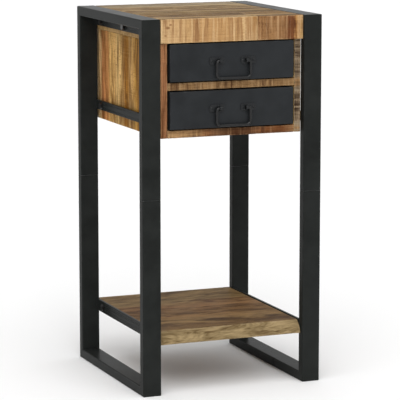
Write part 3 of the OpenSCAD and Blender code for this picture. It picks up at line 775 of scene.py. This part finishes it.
def buildShelf():
    look = shelfLook
    corners = np.array([vertex.co for vertex in nodes["shelf_board"].data.vertices])
    shelfLow, shelfHigh = corners.min(0), corners.max(0)
    hair = 1e-4
    upper = corners[corners[:, axisZ] > shelfHigh[axisZ] - hair]
    topFront = upper[:, axisY].min()        # where the upper face ends at the front

    def liveEdge(points, low, high):
        x, y, z = points.T
        rise = np.clip((z - low[axisZ]) / (high[axisZ] - low[axisZ]), 0, 1)
        lean = (topFront - low[axisY]) * rise ** look["lean"]
        along = np.stack([x, x * 0, z * look["upright"]], axis=1)
        wander = softNoise(along, look["waveLength"], 61) * look["wave"] * (look["waveShare"] + rise)
        wander += softNoise(along, look["rippleLength"], 62) * look["ripple"]
        bulge = look["belly"] * np.sin(math.pi * rise)
        frontLine = low[axisY] + np.maximum(lean + wander - bulge, 0)
        share = (high[axisY] - y) / (high[axisY] - low[axisY])
        points[:, axisY] = high[axisY] - share * (high[axisY] - frontLine)
        return points

    piece = boardPiece("shelf-board.look", "shelf_board", 51, bend=liveEdge)
    tones = (axisY, shelfLow[axisY], shelfHigh[axisY], look["upperTones"])
    upperFinish = woodFinish("shelfUpper", axisX, look["upper"], 51, tones)
    place(piece, "table", upperFinish, "shelf_wood", "shelf_board")
    frontFaces(piece, woodFinish("shelfLiveEdge", axisX, look["edge"], 57), least=look["edgeLeast"])
    print("shelf built")


# drawer fronts: sheet steel folded round a wooden core, in metres
skinShape = {
    "step": 0.005,
    "fold": 0.0018,
    "backEdge": 0.0004,         # rounding of the edge against the box
    "wave": 0.00028,            # how far the sheet isn't flat
    "waveLengths": (0.055, 0.02, 0.04),
    "sheet": 0.0011,
}


def buildDrawerSkins(finish):
    shape = skinShape
    fold, backEdge = shape["fold"], shape["backEdge"]
    rounds = [[fold, fold], [fold, backEdge], [fold, fold]]
    for drawer, seed in (("upper", 71), ("lower", 75)):
        node = f"{drawer}_drawer_skin"
        low, high = (np.array(corner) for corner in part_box(node))
        lines = [gridLines(low[axis], high[axis], *rounds[axis], shape["step"]) for axis in range(3)]
        flat, faces = latticeSkin(lines, (axisY, 1))
        points, normal = roundBlock(flat, low, high, rounds)
        atBack = flat[:, axisY] > high[axisY] - backEdge
        points[:, axisY] = np.where(atBack, flat[:, axisY], points[:, axisY])
        sunk = shape["wave"] * softNoise(flat, shape["waveLengths"], seed)
        points = points - normal * sunk[:, None]
        piece = meshPiece(f"{drawer}-drawer-skin.look", points.tolist(), faces.tolist())
        thick = piece.modifiers.new("sheet", "SOLIDIFY")
        thick.thickness = shape["sheet"]
        thick.offset = -1
        place(piece, f"{drawer}_drawer", finish, "drawer_steel", node)
    print("drawer fronts built")


# weld beads where the flat bars meet the legs, in metres
weldShape = {
    "radius": 0.0019,
    "pitch": 0.0016,            # from one ripple to the next
    "ripple": 0.22,             # how deep a ripple is, as a share of the radius
    "around": 12,               # points round the bead
    "step": 0.0004,             # from one ring of points to the next
    "drift": 0.00004,           # how unsteady the hand was from ring to ring
    "blunt": 12,                # higher is blunter ends
    "tip": 0.02,
    "sink": 0.0006,             # how deep the bead's middle lies in the bar
    "short": 0.001,             # how far from the bar's edges it stops
}


def weldPoints(bottom, top, x, y, seed):
    shape = weldShape
    around = shape["around"]
    count = int((top - bottom) / shape["step"])
    drift = np.cumsum(np.random.default_rng(seed).normal(0, shape["drift"], count + 1))
    points = []
    for ring in range(count + 1):
        share = ring / count
        z = bottom + (top - bottom) * share
        taper = math.sqrt(max(shape["tip"], 1 - (2 * share - 1) ** shape["blunt"]))
        wave = 1 - shape["ripple"] * abs(math.sin(math.pi * z / shape["pitch"]))
        radius = shape["radius"] * taper * wave
        for turn in range(around):
            angle = 2 * math.pi * turn / around
            points.append((x + radius * math.cos(angle), y + drift[ring] + radius * math.sin(angle), z))
    faces = []
    for ring in range(count):
        for turn in range(around):
            a = ring * around + turn
            b = ring * around + (turn + 1) % around
            faces.append((a, b, b + around, a + around))
    faces.append(tuple(range(around - 1, -1, -1)))
    faces.append(tuple(count * around + turn for turn in range(around)))
    return points, faces


def buildWelds(finish):
    short = weldShape["short"]
    for side, sign in (("left", -1), ("right", 1)):
        points = []
        faces = []
        for row, bar in enumerate(("top", "cabinet", "shelf")):
            low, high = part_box(f"{side}_{bar}_bar")
            outside = high.x if sign > 0 else low.x
            for end in (-1, 1):
                y = (high.y if end > 0 else low.y) - end * weldShape["sink"]
                made, skin = weldPoints(low.z + short, high.z - short, outside, y, 90 + 3 * row + end)
                base = len(points)
                points += made
                faces += [tuple(corner + base for corner in face) for face in skin]
        place(meshPiece(f"{side}-welds", points, faces), "table", finish, "frame_steel")
    print("welds built")


# the CAD parts that stay: small rounded edges, in metres, and their own finishes
softEdge = {"frame_steel": 0.0005, "bolt_steel": 0.0004, "handle_iron": 0.00035, "hidden_steel": 0.0003,
            "box_wood": 0.0006, "plywood": 0.0004}
sharpFrom = 35                  # degrees between faces, from which an edge is rounded
samePoint = 0.00001             # metres between points that are one


def softenEdges(piece, width):
    weld = piece.modifiers.new("weld", "WELD")
    weld.merge_threshold = samePoint
    bevel = piece.modifiers.new("edges", "BEVEL")
    bevel.width = width
    bevel.segments = 2
    bevel.limit_method = "ANGLE"
    bevel.angle_limit = math.radians(sharpFrom)
    even = piece.modifiers.new("shading", "WEIGHTED_NORMAL")
    even.keep_sharp = False


def buildSteelAndBoxes(finishes):
    slots = {row["node"]: row["material_slot"] for row in frame["record"]["subparts"]}
    grains = {"drawer_left_side": axisY, "drawer_right_side": axisY, "drawer_back": axisX,
              "drawer_core": axisX, "cleat": axisY, "runner": axisY}
    for name, piece in nodes.items():
        if piece.hide_render:
            continue
        slotName = slots[name]
        finish = finishes.get(slotName)
        if slotName == "box_wood":
            grain = next(axis for word, axis in grains.items() if word in name)
            finish = finishes["box", grain]
        elif "plates" in name or "rivets" in name:
            finish = finishes["plate_iron"]
        piece.data.materials.clear()
        piece.data.materials.append(finish)
        softenEdges(piece, softEdge[slotName])
    print("steel and drawer boxes finished")


# the drawer boxes and other hidden wood
boxWood = {"middle": (0.44, 0.31, 0.18), "streak": 0.2, "saw": 0.15, "pores": 0.35, "spread": 0.16,
           "paleTone": (0.58, 0.45, 0.29), "streakTone": (0.24, 0.14, 0.07)}
birchPly = {"middle": (0.50, 0.39, 0.25), "streak": 0.1, "saw": 0.0, "pores": 0.2, "spread": 0.20,
            "paleTone": (0.62, 0.51, 0.36), "streakTone": (0.30, 0.20, 0.11)}


def makeFinishes():
    return {
        "frame_steel": paintFinish("frameCoat"),
        "drawer_steel": paintFinish("drawerLacquer"),
        "handle_iron": paintFinish("handleIron"),
        "plate_iron": paintFinish("plateIron"),
        "bolt_steel": paintFinish("boltSteel"),
        "hidden_steel": zincFinish("zincPlate"),
        ("box", axisX): woodFinish("boxWoodAcross", axisX, boxWood, 81),
        ("box", axisY): woodFinish("boxWoodDeep", axisY, boxWood, 83),
        "plywood": woodFinish("birchPly", axisX, birchPly, 87),
    }


# floor, light and camera
studio = {
    "floorSize": 80.0,
    "floorTone": (0.91, 0.91, 0.91),
    "floorDull": (0.82, 0.12),         # always, and with the paper's specks
    "specks": (160, 2),                 # scale and detail
    "sky": 0.82,
    "dimSide": 0.40,                    # the sky on the left, where dark screens stand
    "dimFrom": (0.25, 0.85),            # how far to the left the dimming begins and is full
    "sun": {"energy": 1.45, "angle": math.radians(60)},
    "toSun": (-0.20, -0.50, 0.84),
    "lamp": {"shape": "SQUARE", "size": 0.9, "energy": 10},
    "lampPlace": (-0.9, -2.4, 1.9),
    "lampTarget": (0, 0, 0.74),
    "cameraPlace": (-1.823, -4.501, 1.1645),
    "turn": 22.13,                      # degrees to the right of straight ahead
    "tilt": 9.28,                       # degrees down
    "lens": 205.8,
    "film": 36,                         # width of the camera's film, in the same millimetres
    "farthest": 100,
}


def buildFloor():
    look = studio
    material, here, _ = newFinish("paperFloor")
    always, specked = look["floorDull"]
    closeFinish(material, here, {"Specular IOR Level": 0.1, "Base Color": (*look["floorTone"], 1)},
                {"Roughness": always + here.noise(*look["specks"]) * specked})
    half = look["floorSize"] / 2
    mesh = bpy.data.meshes.new("floor")
    corners = [(-half, -half, 0), (half, -half, 0), (half, half, 0), (-half, half, 0)]
    mesh.from_pydata(corners, [], [(0, 1, 2, 3)])
    mesh.materials.append(material)
    floor = linked("floor", mesh)


def buildSky():
    look = studio
    world = bpy.data.worlds.new("studioSky")
    world.use_nodes = True
    tree = world.node_tree
    toLeft = 0 - Wire(tree.nodes.new("ShaderNodeTexCoord").outputs["Generated"]).parts()[axisX]
    bright = look["sky"] + toLeft.between(*look["dimFrom"]) * (look["dimSide"] - look["sky"])
    tree.links.new(bright.socket, tree.nodes["Background"].inputs["Strength"])
    tree.nodes["Background"].inputs["Color"].default_value = (1, 1, 1, 1)
    bpy.context.scene.world = world


def addLight(name, kind, settings, where, target):
    light = bpy.data.lights.new(name, kind)
    for setting, value in settings.items():
        setattr(light, setting, value)
    item = linked(name, light)
    item.location = where
    direction = item.location - type(item.location)(target)
    item.rotation_euler = direction.to_track_quat("Z", "Y").to_euler()


def buildCamera():
    look = studio
    camera = bpy.data.cameras.new("camera")
    camera.sensor_width = look["film"]
    camera.lens = look["lens"]
    camera.clip_end = look["farthest"]
    item = linked("camera", camera)
    item.location = look["cameraPlace"]
    item.rotation_euler = (math.radians(90 - look["tilt"]), 0, math.radians(-look["turn"]))
    bpy.context.scene.camera = item
    bpy.context.scene.view_settings.view_transform = "Standard"


def buildStudio():
    look = studio
    buildFloor()
    buildSky()
    addLight("softSun", "SUN", look["sun"], look["toSun"], (0, 0, 0))
    addLight("keyLamp", "AREA", look["lamp"], look["lampPlace"], look["lampTarget"])
    buildCamera()
    print("studio set")


finishes = makeFinishes()
print("finishes made")
buildTop()
buildCabinet()
buildShelf()
buildDrawerSkins(finishes["drawer_steel"])
buildWelds(finishes["frame_steel"])
buildSteelAndBoxes(finishes)
buildStudio()
